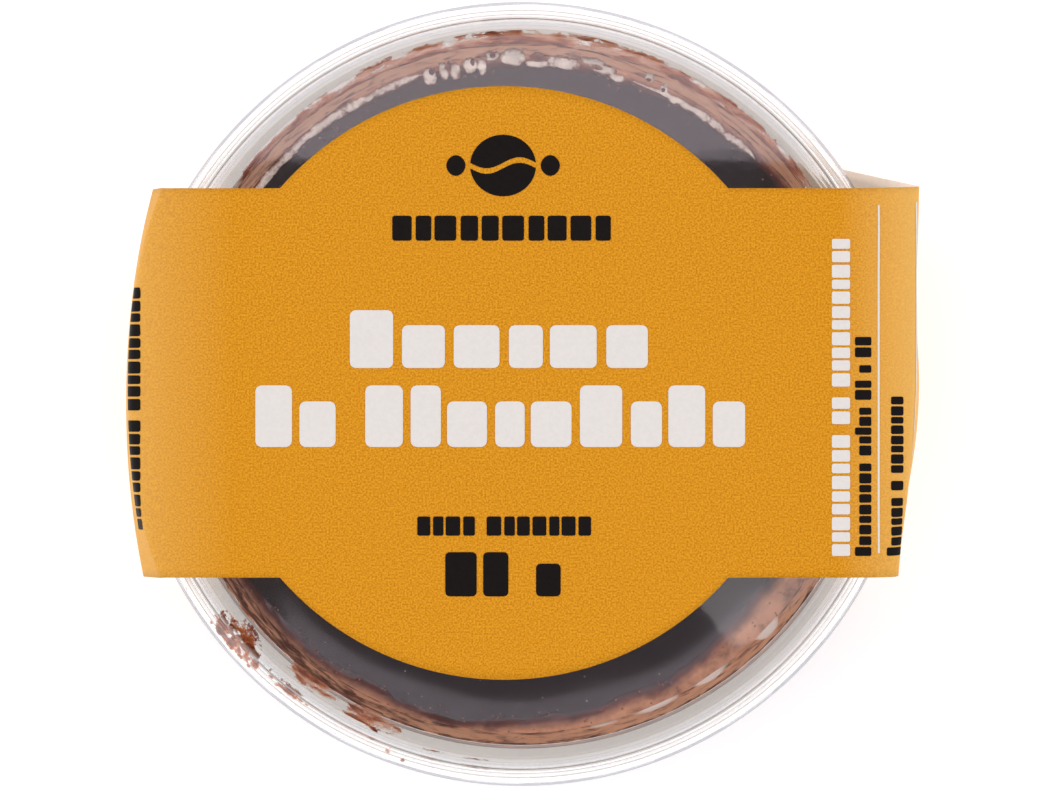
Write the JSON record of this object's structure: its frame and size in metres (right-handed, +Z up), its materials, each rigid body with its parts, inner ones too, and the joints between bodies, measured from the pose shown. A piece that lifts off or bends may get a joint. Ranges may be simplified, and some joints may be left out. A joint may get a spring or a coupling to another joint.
{
  "type": "sealed chocolate mousse pot",
  "caption": "Single portion of chocolate mousse in a clear tapered pot with a clear press-on lid, held in a loop of printed card.",
  "frame": {"origin": "on the ground, under the centre of the pot", "axes": "+Z up through the lid, +X to the right across the print and along the card loop, +Y towards the top of the print"},
  "size_m": [0.0836, 0.082, 0.0398],
  "materials": {
    "pot_plastic": "clear, glossy",
    "lid_plastic": "clear, glossy",
    "chocolate": "smooth, moist",
    "printed_card": "satin print"
  },
  "bodies": {
    "root": {"tub": "pot_plastic", "lid": "lid_plastic", "mousse": "chocolate", "sleeve": "printed_card"}
  },
  "joints": []
}
